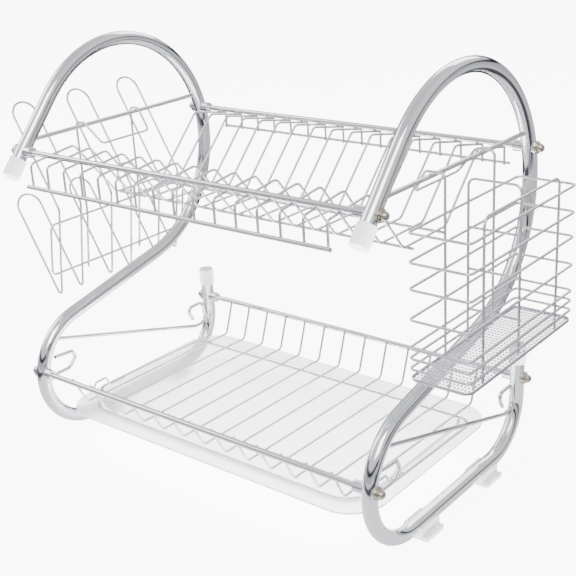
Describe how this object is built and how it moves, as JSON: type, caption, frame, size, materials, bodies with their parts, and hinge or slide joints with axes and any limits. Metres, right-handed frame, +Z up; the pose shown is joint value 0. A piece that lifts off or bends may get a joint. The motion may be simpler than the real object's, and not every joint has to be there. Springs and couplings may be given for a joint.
{
  "type": "dish drying rack",
  "caption": "Tiered dish rack with S-shaped tube frames, wire racks for plates and bowls, a cutlery basket on one end, a cup holder on the other and a pull-out drip tray.",
  "frame": {"origin": "middle of the whole rack's bounding box, on the plane the feet stand on", "axes": "+X towards the cutlery basket, +Y towards the back, +Z up; the open front faces -Y"},
  "size_m": [0.5214, 0.268, 0.377],
  "materials": {
    "chrome_tube": "polished",
    "chrome_wire": "polished",
    "white_cap": "satin",
    "foot_plastic": "frosted",
    "nickel_bolt": "polished",
    "washer_metal": "polished",
    "pan_metal": "fine perforated",
    "tray_plastic": "translucent"
  },
  "bodies": {
    "rack": {"left_s_frame": "chrome_tube", "right_s_frame": "chrome_tube", "upper_front_rail": "chrome_tube", "upper_rear_rail": "chrome_tube", "lower_front_rail": "chrome_tube", "lower_rear_rail": "chrome_tube", "upper_front_bosses": "chrome_tube", "upper_rear_bosses": "chrome_tube", "lower_front_bosses": "chrome_tube", "lower_rear_bosses": "chrome_tube", "left_crossbar": "chrome_tube", "right_crossbar": "chrome_tube", "left_scroll_brace": "chrome_tube", "right_scroll_brace": "chrome_tube", "upper_plate_wires": "chrome_wire", "upper_front_bar": "chrome_wire", "upper_rear_bar": "chrome_wire", "upper_floor_front_bar": "chrome_wire", "upper_floor_rear_bar": "chrome_wire", "lower_rack_wires": "chrome_wire", "lower_floor_loop": "chrome_wire", "lower_floor_curls": "chrome_wire", "left_front_cap": "white_cap", "left_rear_cap": "white_cap", "right_front_cap": "white_cap", "right_rear_cap": "white_cap", "left_front_foot": "foot_plastic", "left_rear_foot": "foot_plastic", "right_front_foot": "foot_plastic", "right_rear_foot": "foot_plastic", "left_bolts": "nickel_bolt", "right_bolts": "nickel_bolt", "left_washers": "washer_metal", "right_washers": "washer_metal"},
    "tray": {"drip_tray": "tray_plastic"},
    "basket": {"basket_rings": "chrome_wire", "basket_hanger": "chrome_wire", "basket_side_hoop": "chrome_wire", "basket_divider": "chrome_wire", "basket_divider_bars": "chrome_wire", "basket_pan": "pan_metal"},
    "cup_holder": {"cup_frame": "chrome_wire", "cup_loops": "chrome_wire", "cup_hanger": "chrome_wire"}
  },
  "joints": [
    {"name": "tray_pull", "type": "slide", "parent": "rack", "child": "tray", "axis": [0, -1, 0], "range_m": [0, 0.2]},
    {"name": "basket_lift", "type": "slide", "parent": "rack", "child": "basket", "axis": [0, 0, 1], "range_m": [0, 0.045]},
    {"name": "cup_holder_lift", "type": "slide", "parent": "rack", "child": "cup_holder", "axis": [0, 0, 1], "range_m": [0, 0.045]}
  ]
}
